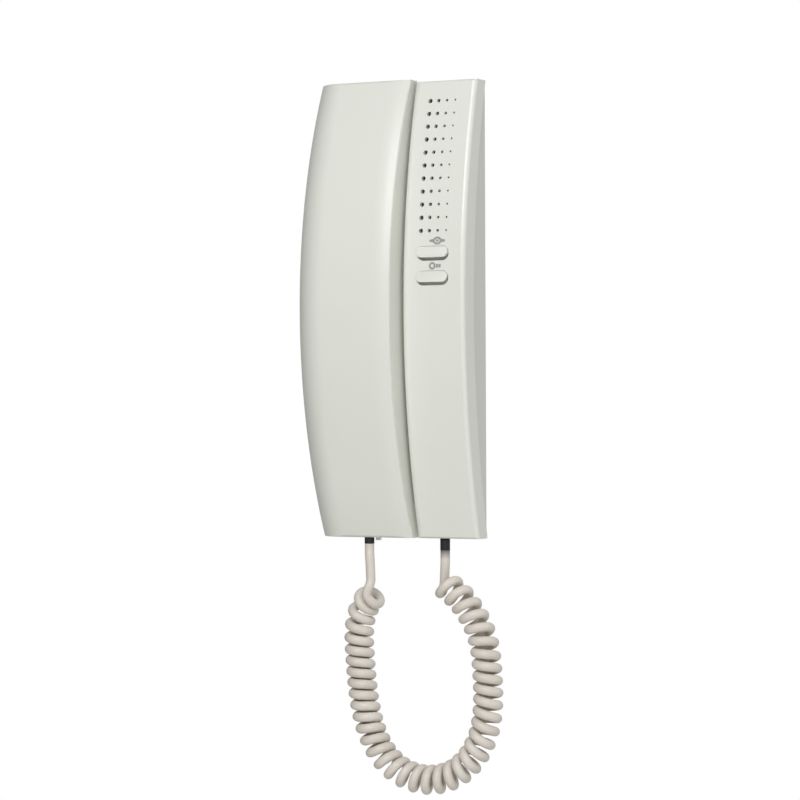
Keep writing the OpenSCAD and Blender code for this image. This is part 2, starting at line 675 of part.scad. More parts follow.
module speaker_frame() {
    rim_t = 1.5;
    skin = 0.8;
    r = speaker_d / 2;
    foot = magnet_d / 2 + skin;
    color("slategray") behind_cover(strip_mid, speaker_z) rotate_extrude() polygon([
        [r - speaker_rim, frame_from], [r, frame_from], [r, frame_from + rim_t],
        [r - rim_t, frame_from + rim_t],
        [foot, basket_to], [0, basket_to], [0, basket_to - skin], [foot - skin, basket_to - skin],
        [r - speaker_rim, frame_from + rim_t]
    ]);
}

module speaker_cone() {
    r = speaker_d / 2 - speaker_rim - 0.1;
    skin = 0.4;
    low = basket_to - 2.4;
    top = frame_from + 0.4;
    color("darkslategray") behind_cover(strip_mid, speaker_z) rotate_extrude() polygon([
        [0, low - 1.2], [r / 3, low - skin], [r - 1, top], [r, top], [r, top + skin], [r - 0.8, top + skin],
        [r / 3, low], [0, low - 1.2 + skin]
    ]);
}

module speaker_magnet() color("darkgray") behind_cover(strip_mid, speaker_z)
    disc(magnet_d / 2, basket_to, basket_to + magnet_h);

// Circuit board and what it carries
module circuit_board() color("darkgreen") difference() {
    box(board_x, board_x + board_w, board_depth, board_face, board_low, board_top);
    for (x = board_screws_x, z = board_screws_z)
        rod(x, z, board_depth - 1, board_face + 1, board_screw_d / 2 + fit);
}

module board_screws() color("silver") for (x = board_screws_x, z = board_screws_z) {
    rod(x, z, board_face, board_face + board_head_h, board_screw_d);
    rod(x, z, board_depth - board_screw_len, board_face + cut, board_screw_d / 2);
}

module sound_chip() color("black")
    box(parts_left - chip_size[0] / 2, parts_left + chip_size[0] / 2, board_face, board_face + chip_size[2],
        parts_top - chip_size[1], parts_top);

module capacitors() color("navy") {
    for (k = [0, 1]) rod(parts_right, capacitor_z - k * capacitor_step, board_face,
        board_face + capacitor_size[1], capacitor_size[0] / 2);
    rod(parts_left, small_capacitor_z, board_face, board_face + small_capacitor_size[1],
        small_capacitor_size[0] / 2);
}

module volume_trimmer() {
    top = board_face + trimmer_size[1];
    slot = trimmer_size[0] / 4;
    color("steelblue") difference() {
        rod(parts_right, trimmer_z, board_face, top, trimmer_size[0] / 2);
        box(parts_right - slot, parts_right + slot, top - 0.8, top + 1, trimmer_z - 0.4, trimmer_z + 0.4);
    }
}

module terminal_block() color("seagreen") difference() {
    box(strip_mid - terminal_w / 2, strip_mid + terminal_w / 2, board_face, board_face + terminal_size[1],
        terminal_z, terminal_z + terminal_size[0]);
    for (i = [0:terminal_poles - 1]) {
        x = strip_mid + (i - (terminal_poles - 1) / 2) * terminal_pitch;
        rod(x, terminal_z + terminal_size[0] * 0.6, board_face + terminal_size[1] - 3,
            board_face + terminal_size[1] + 1, 1.6);
        box(x - 1.3, x + 1.3, board_face + 1, board_face + 3.6, terminal_z - 1, terminal_z + 4);
    }
}

module terminal_screws() color("silver") for (i = [0:terminal_poles - 1]) {
    x = strip_mid + (i - (terminal_poles - 1) / 2) * terminal_pitch;
    z = terminal_z + terminal_size[0] * 0.6;
    top = board_face + terminal_size[1] - 0.4;
    difference() {
        rod(x, z, board_face + terminal_size[1] - 3, top, 1.5);
        box(x - 2, x + 2, top - 0.7, top + 1, z - 0.25, z + 0.25);
    }
}

// Rubber domes under the buttons
module dome(z) translate([button_x, -board_face, z]) rotate([90, 0, 0]) {
    cylinder(r = dome_d / 2, h = 1);
    translate([0, 0, 1]) cylinder(r1 = dome_d / 2 - 0.6, r2 = stem_d / 2 + 0.3, h = dome_h - 2);
    translate([0, 0, dome_h - 1]) cylinder(r = stem_d / 2 + 0.3, h = 1);
}
module door_dome() color("dimgray") dome(door_z);
module light_dome() color("dimgray") dome(light_z);

// Buttons, each with a flange behind the cover and a stem to its dome
module button(z) {
    face = flange_face(z);
    low = z - button_h / 2;
    top = z + button_h / 2;
    low_depth = base_front(low) + button_proud;
    top_depth = base_front(top) + button_top_proud;
    slope = (low_depth - top_depth) / button_h;
    intersection() {
        translate([button_x, 0, z]) plate(face - 0.2, base_depth + 2 * button_proud)
            stadium(button_w, button_h);
        across(strip_x, half_w) polygon([
            [0, low - 1], [-low_depth - slope, low - 1], [-top_depth + slope, top + 1], [0, top + 1]
        ]);
    }
    translate([button_x, 0, z]) plate(face - 1.2, face) stadium(2 * flange_half_w, 2 * flange_half_h);
    rod(button_x, z, stem_end, face - 1, stem_d / 2);
}
module door_button() color("whitesmoke") button(door_z);
module light_button() color("whitesmoke") button(light_z);

// Hook switch: the plunger that the handset holds down, its spring and the switch
module hook_plunger() color("lightgray") {
    rod(plunger_x, plunger_z, flange_low, plunger_tip, plunger_d / 2);
    rod(plunger_x, plunger_z, flange_low, flange_top, flange_d / 2);
    box(plunger_x, arm_end, flange_low, flange_top, plunger_z - 1.5, plunger_z + 1.5);
}

module plunger_spring() {
    r = (spring_d - spring_wire) / 2;
    from = plate_t + spring_wire / 2 + 0.05;
    to = flange_low - spring_wire / 2 - 0.05;
    rise = (to - from) / (spring_turns * 8);
    color("silver") tube([for (k = [0:spring_turns * 8])
        [plunger_x + r * cos(45 * k), -from - rise * k, plunger_z + r * sin(45 * k)]],
        spring_wire / 2, 6, [1, 0, 0]);
}

module hook_switch() color("black") {
    box(switch_x, switch_x + switch_size[0], plate_t, plate_t + switch_size[2],
        plunger_z - switch_size[1] / 2, plunger_z + switch_size[1] / 2);
    rod(switch_x + 1.5, plunger_z, plate_t + 1, flange_low - fit, 0.8);
}

module cradle_pads() color("dimgray") for (s = [-1, 1])
    rod(handset_mid, s * pad_z, cradle_depth, pad_face, pad_d / 2);

module cover_screws() color("silver") for (s = [-1, 1]) {
    rod(cover_screw_x, s * cover_screw_z, cradle_depth, cradle_depth + case_head_h, case_head_d / 2);
    rod(cover_screw_x, s * cover_screw_z, plate_t / 2, cradle_depth + cut, case_screw_d / 2);
}

// Cord: a sleeve at each end, the two leads and the curls
module sleeve(place, out, collar_w, collar_d) translate([place[0], -place[1], 0]) {
    translate([0, 0, -half_h - out]) cylinder(r = sleeve_d / 2, h = out + wall + sleeve_in);
    translate([-collar_w / 2, -collar_d / 2, -half_h + wall + fit]) cube([collar_w, collar_d, 1.6]);
}
module base_sleeve() color("black") sleeve(cord_base, base_sleeve_out, sleeve_collar_w, base_collar_d);
module handset_sleeve() color("black") sleeve(cord_handset, handset_sleeve_out, sleeve_collar_w,
    handset_collar_d);
module base_lead() color("linen") tube(base_lead_route, cord_d / 2, 8, [1, 0, 0]);
module handset_lead() color("linen") tube(handset_lead_route, cord_d / 2, 8, [1, 0, 0]);
module curly_cord() {
    n = len(curly_points);
    gap = min([for (i = [0:n - 1], j = [i + 5:1:n - 1]) norm(curly_points[i] - curly_points[j])]) - cord_d;
    echo(least_gap = gap, turns = turns, least_pitch = min(pitches), widest_pitch = max(pitches));
    echo(cord_length = tube_len(curly_points) + tube_len(base_lead_route) + tube_len(handset_lead_route));
    color("linen") tube(curly_points, cord_d / 2, 6, [1, 0, 0]);
}

// Handset: the outer shell, the back plate, the ear capsule and the microphone
module handset_shell() color("whitesmoke") {
    difference() {
        intersection() {
            handset_form(0);
            across(-half_w, handset_x)
                side_outline(handset_r, handset_depth, -half_h, half_h, handset_end_round);
        }
        handset_form(wall);
        drum(back_r, back_depth, -half_w - 1, half_w);
        translate([cord_handset[0], -cord_handset[1], -half_h - 1])
            cylinder(r = sleeve_d / 2 + sleeve_clear, h = wall + 2);
    }
    for (p = handset_screw_places) difference() {
        rod(p[0], p[1], handset_back_at(abs(p[1])) + wall + fit, handset_front(p[1]) - wall / 2,
            case_screw_d / 2 + boss_wall);
        rod(p[0], p[1], back_depth / 2, handset_front(p[1]) - wall - 4, case_screw_d / 2);
    }
    box(nib_x - 1.1, nib_x + 1.1, cord_handset[1] - 1.8, cord_handset[1], -half_h - 1.4, -half_h + wall / 2);
}

module handset_back() color("whitesmoke") difference() {
    union() {
        intersection() {
            handset_form(wall + fit / 2);
            difference() {
                drum(back_r + wall, back_depth + wall, -half_w, handset_x);
                drum(back_r, back_depth, -half_w - 1, half_w);
            }
        }
        on_back(handset_mid, ear_z) ring(ear_d / 2 + fit, ear_d / 2 + fit + rib_t, wall / 2, wall + rib_h);
        on_back(handset_mid, -mic_drop) ring(mic_d / 2 + boot_wall + fit, mic_d / 2 + boot_wall + fit + rib_t,
            wall / 2, wall + rib_h);
    }
    on_back(handset_mid, ear_z) {
        disc(ear_hole_d / 2, -1, wall + 1);
        for (n = [1, 2], k = [0:6 * n - 1]) rotate([0, 0, 60 * k / n]) translate([4 * n, 0, 0])
            disc(ear_hole_d / 2, -1, wall + 1);
    }
    on_back(handset_mid, -mic_drop) for (k = [0:4]) rotate([0, 0, 72 * k]) translate([2.6, 0, 0])
        disc(mouth_hole_d / 2, -1, wall + 1);
    lug_bar(lug_clear, -2, lug_len + 4);
    translate([cord_handset[0], -cord_handset[1], -half_h])
        cylinder(r = sleeve_d / 2 + fit, h = wall + sleeve_in + 1);
    for (p = handset_screw_places) rod(p[0], p[1], back_depth / 2, handset_depth, case_screw_d / 2 + fit);
}

module ear_gasket() color("black") on_back(handset_mid, ear_z)
    ring(ear_d / 2 - 3, ear_d / 2, wall, wall + ear_gasket_t);
module ear_capsule() color("slategray") on_back(handset_mid, ear_z) {
    disc(ear_d / 2, wall + ear_gasket_t, wall + ear_gasket_t + ear_t * 0.6);
    disc(ear_d / 3, wall + ear_gasket_t + ear_t * 0.5, wall + ear_gasket_t + ear_t);
}
module microphone_boot() color("dimgray") on_back(handset_mid, -mic_drop)
    ring(mic_d / 2, mic_d / 2 + boot_wall, wall, wall + mic_t + 0.6);
module microphone() color("silver") on_back(handset_mid, -mic_drop) disc(mic_d / 2, wall + 0.2, wall + mic_t);
module handset_screws() color("silver") for (p = handset_screw_places) {
    seat = handset_back_at(abs(p[1])) - 0.3;
    rod(p[0], p[1], seat - case_head_h, seat, case_head_d / 2);
    rod(p[0], p[1], seat - cut, seat + wall + case_screw_len, case_screw_d / 2);
}

wall_plate();
front_cover();
grille_felt();
speaker_gasket();
speaker_frame();
speaker_cone();
speaker_magnet();
circuit_board();
board_screws();
sound_chip();
capacitors();
volume_trimmer();
terminal_block();
terminal_screws();
door_dome();
light_dome();
door_button();
light_button();
hook_plunger();
plunger_spring();
hook_switch();
cradle_pads();
cover_screws();
base_sleeve();
base_lead();
curly_cord();
handset_lead();
handset_sleeve();
handset_shell();
handset_back();
ear_gasket();
ear_capsule();
microphone_boot();
microphone();
handset_screws();
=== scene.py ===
"""Looks of the wall intercom telephone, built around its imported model.

Lengths are in metres unless a comment says millimetres. +Z is up, +X is to the right seen from the
front and +Y goes into the wall, as in the part's source."""

import json
import math

import bpy
import numpy as np
from mathutils import Matrix, Vector


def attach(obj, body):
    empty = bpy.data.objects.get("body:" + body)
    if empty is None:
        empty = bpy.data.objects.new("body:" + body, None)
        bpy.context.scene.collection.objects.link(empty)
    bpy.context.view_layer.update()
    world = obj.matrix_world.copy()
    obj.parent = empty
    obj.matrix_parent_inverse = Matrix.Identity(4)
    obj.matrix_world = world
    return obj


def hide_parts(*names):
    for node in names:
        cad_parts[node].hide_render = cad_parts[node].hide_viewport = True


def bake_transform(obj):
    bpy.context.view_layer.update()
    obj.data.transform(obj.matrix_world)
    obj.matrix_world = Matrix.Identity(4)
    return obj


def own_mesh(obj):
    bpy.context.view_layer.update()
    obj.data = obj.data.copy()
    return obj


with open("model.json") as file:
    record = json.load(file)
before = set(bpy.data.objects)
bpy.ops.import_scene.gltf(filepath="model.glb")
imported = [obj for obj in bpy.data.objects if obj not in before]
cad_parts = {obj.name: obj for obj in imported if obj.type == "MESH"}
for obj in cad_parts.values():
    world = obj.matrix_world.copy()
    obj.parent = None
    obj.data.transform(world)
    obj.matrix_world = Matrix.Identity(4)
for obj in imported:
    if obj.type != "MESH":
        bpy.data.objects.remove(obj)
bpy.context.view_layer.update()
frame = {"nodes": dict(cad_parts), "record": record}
nodes = frame["nodes"]
MM = 0.001

# Merging distance of doubled points, and the angle up to which neighbouring faces shade as one
MERGE = 0.000005
SMOOTH_ANGLE = math.radians(35)

# Camera, fitted to the photo's outlines, edges and grille
CAMERA_TURN = math.radians(26.0)
CAMERA_ROLL = 0.004
CAMERA_TILT = 0.001
CAMERA_AWAY, CAMERA_LEFT, CAMERA_DROP = 1.350, 0.001517, 0.04464
CAMERA_LENS, CAMERA_SENSOR = 126.49, 36.0


def make_camera():
    forward = Vector((-math.sin(CAMERA_TURN), math.cos(CAMERA_TURN), 0.0))
    right = Vector((math.cos(CAMERA_TURN), math.sin(CAMERA_TURN), 0.0))
    up = Vector((0.0, 0.0, 1.0))
    place = -CAMERA_AWAY * forward - CAMERA_LEFT * right - CAMERA_DROP * up
    forward = (forward + CAMERA_TILT * up).normalized()
    up = right.cross(forward)
    data = bpy.data.cameras.new("photo_camera")
    data.lens, data.sensor_width = CAMERA_LENS, CAMERA_SENSOR
    camera = bpy.data.objects.new("photo_camera", data)
    bpy.context.scene.collection.objects.link(camera)
    across = right * math.cos(CAMERA_ROLL) - up * math.sin(CAMERA_ROLL)
    rise = up * math.cos(CAMERA_ROLL) + right * math.sin(CAMERA_ROLL)
    turned = Matrix((across, rise, -forward)).transposed().to_4x4()
    camera.matrix_world = Matrix.Translation(place) @ turned
    bpy.context.scene.camera = camera


# Shared effects of the finishes, as node groups
def linear(code):
    """Linear colour of a hexadecimal one."""
    parts = [int(code[i:i + 2], 16) / 255 for i in (1, 3, 5)]
    return tuple(c / 12.92 if c <= 0.04045 else ((c + 0.055) / 1.055) ** 2.4 for c in parts) + (1.0,)


def new_group(name, inputs, outputs):
    """Node group with number inputs, each with its usual value, and number outputs."""
    group = bpy.data.node_groups.new(name, "ShaderNodeTree")
    for socket, value in inputs:
        made = group.interface.new_socket(name=socket, in_out="INPUT", socket_type="NodeSocketFloat")
        made.default_value = value
    for socket in outputs:
        group.interface.new_socket(name=socket, in_out="OUTPUT", socket_type="NodeSocketFloat")
    return group, group.nodes.new("NodeGroupInput"), group.nodes.new("NodeGroupOutput")


def object_noise(tree, scale, detail, stretch=(1.0, 1.0, 1.0)):
    """Noise on the object's own coordinates, drawn out along chosen axes."""
    place = tree.nodes.new("ShaderNodeTexCoord")
    mapping = tree.nodes.new("ShaderNodeMapping")
    mapping.inputs["Scale"].default_value = stretch
    noise = tree.nodes.new("ShaderNodeTexNoise")
    noise.inputs["Scale"].default_value = scale
    noise.inputs["Detail"].default_value = detail
    tree.links.new(place.outputs["Object"], mapping.inputs["Vector"])
    tree.links.new(mapping.outputs["Vector"], noise.inputs["Vector"])
    return noise


def calculate(tree, operation, first, second):
    """Sum, product or other result of two nodes' outputs."""
    node = tree.nodes.new("ShaderNodeMath")
    node.operation = operation
    tree.links.new(first, node.inputs[0])
    tree.links.new(second, node.inputs[1])
    return node.outputs["Value"]


GRAIN_SCALE, GRAIN_DETAIL = 2500.0, 2.0
FLOW_SCALE, FLOW_DETAIL = 30.0, 1.5


def make_mould_grain():
    """Fine spark texture of a mould, and the slow unevenness of the melt."""
    inputs = [("Grain Scale", GRAIN_SCALE), ("Flow Scale", FLOW_SCALE)]
    group, start, end = new_group("mould_grain", inputs, ["Height", "Tone"])
    grain = object_noise(group, GRAIN_SCALE, GRAIN_DETAIL)
    flow = object_noise(group, FLOW_SCALE, FLOW_DETAIL)
    group.links.new(start.outputs["Grain Scale"], grain.inputs["Scale"])
    group.links.new(start.outputs["Flow Scale"], flow.inputs["Scale"])
    group.links.new(grain.outputs["Fac"], end.inputs["Height"])
    group.links.new(flow.outputs["Fac"], end.inputs["Tone"])
    return group


DUST_COLOUR = "#B9B4A9"
DUST_AMOUNT = 0.2
DUST_LEVEL = 0.6
DUST_SCALE, DUST_DETAIL = 220.0, 5.0


def make_settled_dust():
    """Mask of faint dust on what faces up."""
    group, start, end = new_group("settled_dust", [("Amount", DUST_AMOUNT)], ["Mask"])
    surface = group.nodes.new("ShaderNodeNewGeometry")
    split = group.nodes.new("ShaderNodeSeparateXYZ")
    group.links.new(surface.outputs["Normal"], split.inputs["Vector"])
    rise = spread(group, split.outputs["Z"], 0.0, 1.0, DUST_LEVEL, 1.0)
    patch = object_noise(group, DUST_SCALE, DUST_DETAIL)
    both = calculate(group, "MULTIPLY", rise, patch.outputs["Fac"])
    scaled = calculate(group, "MULTIPLY", both, start.outputs["Amount"])
    group.links.new(scaled, end.inputs["Mask"])
    return group


# Steps that the finishes share
def place_group(tree, key, **values):
    """One of the shared effects, with its own values."""
    node = tree.nodes.new("ShaderNodeGroup")
    node.node_tree = GROUPS[key]
    for socket, value in values.items():
        node.inputs[socket.replace("_", " ")].default_value = value
    return node


def start_finish(name):
    material = bpy.data.materials.new(name)
    material.use_nodes = True
    return material, material.node_tree, material.node_tree.nodes["Principled BSDF"]


def mix_colours(tree, fac, first, second):
    """Colour between two, by a mask. Each is a hexadecimal code or another node's output."""
    mix = tree.nodes.new("ShaderNodeMix")
    mix.data_type = "RGBA"
    for socket, colour in ((mix.inputs[6], first), (mix.inputs[7], second)):
        if isinstance(colour, str):
            socket.default_value = linear(colour)
        else:
            tree.links.new(colour, socket)
    tree.links.new(fac, mix.inputs[0])
    return mix.outputs[2]


def spread(tree, value, low, high, start=0.0, stop=1.0):
    """Value mapped from start and stop to low and high."""
    node = tree.nodes.new("ShaderNodeMapRange")
    node.inputs["From Min"].default_value = start
    node.inputs["From Max"].default_value = stop
    node.inputs["To Min"].default_value = low
    node.inputs["To Max"].default_value = high
    tree.links.new(value, node.inputs["Value"])
    return node.outputs["Result"]


def add_bump(tree, shader, height, strength, distance):
    bump = tree.nodes.new("ShaderNodeBump")
    bump.inputs["Strength"].default_value = strength
    bump.inputs["Distance"].default_value = distance
    tree.links.new(height, bump.inputs["Height"])
    tree.links.new(bump.outputs["Normal"], shader.inputs["Normal"])


GROUPS = {"grain": make_mould_grain(), "dust": make_settled_dust()}

# Part of the melt's tone that carries a finish from its first colour to its second
TONE_LOW, TONE_HIGH = 0.2, 0.8
GRAIN_DEPTH = 0.0001


def moulded_finish(name, first, second, roughness, grain, flow, bump, dust=0.0):
    """Moulded or cast surface: two near tones, an uneven gloss and a fine grain."""
    material, tree, shader = start_finish(name)
    texture = place_group(tree, "grain", Grain_Scale=grain, Flow_Scale=flow)
    tone = texture.outputs["Tone"]
    colour = mix_colours(tree, spread(tree, tone, 0.0, 1.0, TONE_LOW, TONE_HIGH), first, second)
    if dust:
        settled = place_group(tree, "dust", Amount=dust)
        colour = mix_colours(tree, settled.outputs["Mask"], colour, DUST_COLOUR)
    gloss = spread(tree, tone, *roughness, TONE_LOW, TONE_HIGH)
    tree.links.new(colour, shader.inputs["Base Color"])
    tree.links.new(gloss, shader.inputs["Roughness"])
    add_bump(tree, shader, texture.outputs["Height"], bump, GRAIN_DEPTH)
    return material


BRUSH_SCALE, BRUSH_DETAIL = 900.0, 3.0
BRUSH_BUMP, BRUSH_DEPTH = 0.12, 0.00004


def brushed_finish(name, first, second, roughness, stretch):
    """Rolled or drawn metal, with lines along its working direction."""
    material, tree, shader = start_finish(name)
    shader.inputs["Metallic"].default_value = 1.0
    lines = object_noise(tree, BRUSH_SCALE, BRUSH_DETAIL, stretch)
    colour = mix_colours(tree, lines.outputs["Fac"], first, second)
    tree.links.new(colour, shader.inputs["Base Color"])
    tree.links.new(spread(tree, lines.outputs["Fac"], *roughness), shader.inputs["Roughness"])
    add_bump(tree, shader, lines.outputs["Fac"], BRUSH_BUMP, BRUSH_DEPTH)
    return material


FIBRE_DETAIL, FIBRE_STRETCH = 6.0, 0.25
FIBRE_LOW, FIBRE_HIGH = 0.4, 0.75
FIBRE_ROUGHNESS = (0.95, 0.8)
FIBRE_DEPTH = 0.0003
FIBRE_SHEEN, FIBRE_SHEEN_ROUGHNESS = 0.15, 0.6


def fibre_finish(name, first, second, scale, bump):
    """Felt or cone paper: tangled fibres, dull all over."""
    material, tree, shader = start_finish(name)
    shader.inputs["Sheen Weight"].default_value = FIBRE_SHEEN
    shader.inputs["Sheen Roughness"].default_value = FIBRE_SHEEN_ROUGHNESS
    along = object_noise(tree, scale, FIBRE_DETAIL, (1.0, 1.0, FIBRE_STRETCH))
    cross = object_noise(tree, scale, FIBRE_DETAIL, (FIBRE_STRETCH, 1.0, 1.0))
    tangle = calculate(tree, "MAXIMUM", along.outputs["Fac"], cross.outputs["Fac"])
    colour = mix_colours(tree, spread(tree, tangle, 0.0, 1.0, FIBRE_LOW, FIBRE_HIGH), first, second)
    tree.links.new(colour, shader.inputs["Base Color"])
    tree.links.new(spread(tree, tangle, *FIBRE_ROUGHNESS), shader.inputs["Roughness"])
    add_bump(tree, shader, tangle, bump, FIBRE_DEPTH)
    return material


BOARD_MASK, BOARD_TRACK, BOARD_PAD = "#14502D", "#2B7A48", "#B9B7A6"
TRACK_SCALE, TRACK_EDGE = 260.0, (0.04, 0.07)
PAD_SCALE, PAD_EDGE = 390.0, (0.13, 0.17)
PAD_METAL = 0.85
TRACK_ROUGHNESS = (0.32, 0.24)
TRACK_BUMP, TRACK_DEPTH = 0.3, 0.00003


def board_finish(name):
    """Green solder mask over copper tracks, with bright pads between them."""
    material, tree, shader = start_finish(name)
    place = tree.nodes.new("ShaderNodeTexCoord")
    cells = tree.nodes.new("ShaderNodeTexVoronoi")
    cells.distance = "MANHATTAN"
    cells.feature = "DISTANCE_TO_EDGE"
    cells.inputs["Scale"].default_value = TRACK_SCALE
    pads = tree.nodes.new("ShaderNodeTexVoronoi")
    pads.inputs["Scale"].default_value = PAD_SCALE
    for texture in (cells, pads):
        tree.links.new(place.outputs["Object"], texture.inputs["Vector"])
    track = spread(tree, cells.outputs["Distance"], 1.0, 0.0, *TRACK_EDGE)
    pad = spread(tree, pads.outputs["Distance"], 1.0, 0.0, *PAD_EDGE)
    colour = mix_colours(tree, track, BOARD_MASK, BOARD_TRACK)
    tree.links.new(mix_colours(tree, pad, colour, BOARD_PAD), shader.inputs["Base Color"])
    tree.links.new(spread(tree, pad, 0.0, PAD_METAL), shader.inputs["Metallic"])
    tree.links.new(spread(tree, track, *TRACK_ROUGHNESS), shader.inputs["Roughness"])
    add_bump(tree, shader, track, TRACK_BUMP, TRACK_DEPTH)
    return material


# Two tones of the cord's jacket, and the colour of the painted shadow of the base's case on the cord
CORD_LIGHT, CORD_DARK, CORD_PAINTED_SHADOW = "#DDD7CE", "#D5CEC4", "#2A2A28"
CORD_GRAIN, CORD_FLOW = 1800.0, 70.0
CORD_LINES = (14.0, 60.0, 1.0)
CORD_LINE_SCALE, CORD_LINE_DETAIL = 3.0, 3.0
CORD_LOW, CORD_HIGH = 0.3, 0.7
CORD_ROUGHNESS = (0.36, 0.5)
CORD_BUMP, CORD_LINE_DEPTH = 0.1, 0.0002
# Darkness of the painted shadow at the base's sleeve, and how far along the cord it fades out, in metres
PAINTED_SHADOW_DARKNESS, PAINTED_SHADOW_END = 0.85, 0.0045


def cord_finish(name):
    """Soft cord jacket: faint lines, dull patches, and a painted shadow of the case by the base's sleeve."""
    material, tree, shader = start_finish(name)
    coat = tree.nodes.new("ShaderNodeUVMap")
    coat.uv_map = "UVMap"
    stretch = tree.nodes.new("ShaderNodeMapping")
    stretch.inputs["Scale"].default_value = CORD_LINES
    drawn = tree.nodes.new("ShaderNodeTexNoise")
    drawn.inputs["Scale"].default_value = CORD_LINE_SCALE
    drawn.inputs["Detail"].default_value = CORD_LINE_DETAIL
    tree.links.new(coat.outputs["UV"], stretch.inputs["Vector"])
    tree.links.new(stretch.outputs["Vector"], drawn.inputs["Vector"])
    texture = place_group(tree, "grain", Grain_Scale=CORD_GRAIN, Flow_Scale=CORD_FLOW)
    tone = spread(tree, texture.outputs["Tone"], 0.0, 1.0, CORD_LOW, CORD_HIGH)
    colour = mix_colours(tree, tone, CORD_LIGHT, CORD_DARK)
    split = tree.nodes.new("ShaderNodeSeparateXYZ")
    tree.links.new(coat.outputs["UV"], split.inputs["Vector"])
    # Painted shadow of the base's case: darkest at the base's sleeve, gone 4.5 mm along the cord
    painted_shadow = spread(tree, split.outputs["Y"], PAINTED_SHADOW_DARKNESS, 0.0, 0.0, PAINTED_SHADOW_END)
    gloss = spread(tree, drawn.outputs["Fac"], *CORD_ROUGHNESS, CORD_LOW, CORD_HIGH)
    tree.links.new(mix_colours(tree, painted_shadow, colour, CORD_PAINTED_SHADOW), shader.inputs["Base Color"])
    tree.links.new(gloss, shader.inputs["Roughness"])
    add_bump(tree, shader, drawn.outputs["Fac"], CORD_BUMP, CORD_LINE_DEPTH)
    return material


SLEEVE_LIGHT, SLEEVE_DARK, SLEEVE_STRIPE = "#1C2A4A", "#15203A", "#A9AEB8"
STRIPE_SCALE, STRIPE_WAVE, STRIPE_EDGE = 70.0, 0.4, (0.9, 0.94)
SLEEVE_GRAIN, SLEEVE_FLOW = 1500.0, 90.0
SLEEVE_ROUGHNESS, SLEEVE_BUMP = (0.25, 0.4), 0.08


def sleeve_finish(name):
    """Shrunk capacitor sleeve with a pale stripe round the side."""
    material, tree, shader = start_finish(name)
    place = tree.nodes.new("ShaderNodeTexCoord")
    bands = tree.nodes.new("ShaderNodeTexWave")
    bands.bands_direction = "X"
    bands.inputs["Scale"].default_value = STRIPE_SCALE
    bands.inputs["Distortion"].default_value = STRIPE_WAVE
    tree.links.new(place.outputs["Object"], bands.inputs["Vector"])
    stripe = spread(tree, bands.outputs["Fac"], 0.0, 1.0, *STRIPE_EDGE)
    texture = place_group(tree, "grain", Grain_Scale=SLEEVE_GRAIN, Flow_Scale=SLEEVE_FLOW)
    colour = mix_colours(tree, texture.outputs["Tone"], SLEEVE_DARK, SLEEVE_LIGHT)
    gloss = spread(tree, texture.outputs["Tone"], *SLEEVE_ROUGHNESS)
    tree.links.new(mix_colours(tree, stripe, colour, SLEEVE_STRIPE), shader.inputs["Base Color"])
    tree.links.new(gloss, shader.inputs["Roughness"])
    add_bump(tree, shader, texture.outputs["Height"], SLEEVE_BUMP, GRAIN_DEPTH)
    return material


# Moulded finishes: two colours, roughness range, grain and flow scales, bump and dust
MOULDED = {
    "case_plastic": ("#E5E7DF", "#E3E4DC", (0.28, 0.33), 2600, 26, 0.06, 0.1),
    "rear_plastic": ("#D6D8D0", "#D3D5CD", (0.36, 0.42), 2600, 26, 0.08, 0.1),
    "rubber_black": ("#181819", "#222223", (0.55, 0.72), 1900, 120, 0.2, 0.25),
    "rubber_grey": ("#8B8D8C", "#7F8180", (0.55, 0.7), 1900, 120, 0.18, 0.2),
    "magnet": ("#3A3A3C", "#2C2C2E", (0.45, 0.6), 1500, 300, 0.35),
    "black_plastic": ("#1B1B1C", "#242425", (0.4, 0.52), 2200, 150, 0.25),
    "trimmer_plastic": ("#2F5C9E", "#284F8A", (0.3, 0.42), 2200, 140, 0.12),
    "terminal_plastic": ("#2E7A4B", "#286C42", (0.34, 0.46), 2200, 140, 0.15),
    "sign_ink": ("#959690", "#9E9F99", (0.5, 0.62), 2600, 300, 0.05),
}
# Metals: two colours, roughness range and the stretch of the brushed lines
BRUSHED = {
    "steel": ("#B4B6B7", "#8F9294", (0.24, 0.42), (1.0, 0.12, 1.0)),
    "aluminium": ("#D3D4D4", "#B5B7B8", (0.28, 0.45), (0.15, 1.0, 1.0)),
}
# Fibrous finishes: two colours, scale and bump
FIBROUS = {
    "felt": ("#1C1C1B", "#4A4947", 1400, 0.8),
    "speaker_paper": ("#232321", "#3B3A37", 900, 0.5),
}


def make_finishes():
    """Finish of each of the record's material slots, put on the CAD nodes."""
    made = {name: moulded_finish(name, *values) for name, values in MOULDED.items()}
    made.update({name: brushed_finish(name, *values) for name, values in BRUSHED.items()})
    made.update({name: fibre_finish(name, *values) for name, values in FIBROUS.items()})
    made["cord_plastic"] = cord_finish("cord_plastic")
    made["board_green"] = board_finish("board_green")
    made["capacitor_sleeve"] = sleeve_finish("capacitor_sleeve")
    for part in frame["record"]["subparts"]:
        piece = nodes[part["node"]]
        piece.data.materials.clear()
        # The wall plate gets a darker, duller copy of the case plastic
        finish = "rear_plastic" if part["node"] == "wall_plate" else part["material_slot"]
        piece.data.materials.append(made[finish])
    return made


# Studio: surroundings that light the object by direction, soft lights and a pale floor
WHITE = (1.0, 1.0, 1.0, 1.0)
SKY = 0.03
# Light from each side of the sky: axis, its sign and the strength straight along it
SKY_SIDES = [("Z", -1, 0.3), ("Z", 1, 0.15), ("X", 1, 0.41), ("Y", 1, 0.48)]
# Soft lights: name, place, width and height, watts, and whether glossy faces mirror them
SOFTBOXES = [
    ("key_softbox", (0.18, -1.29, 0.75), (0.9, 0.8), 15.7, True),
    ("side_softbox", (1.1, -1.2, 0.1), (1.0, 1.4), 4.4, False),
]
SOFTBOX_AIM = (0.0, -0.02, -0.02)


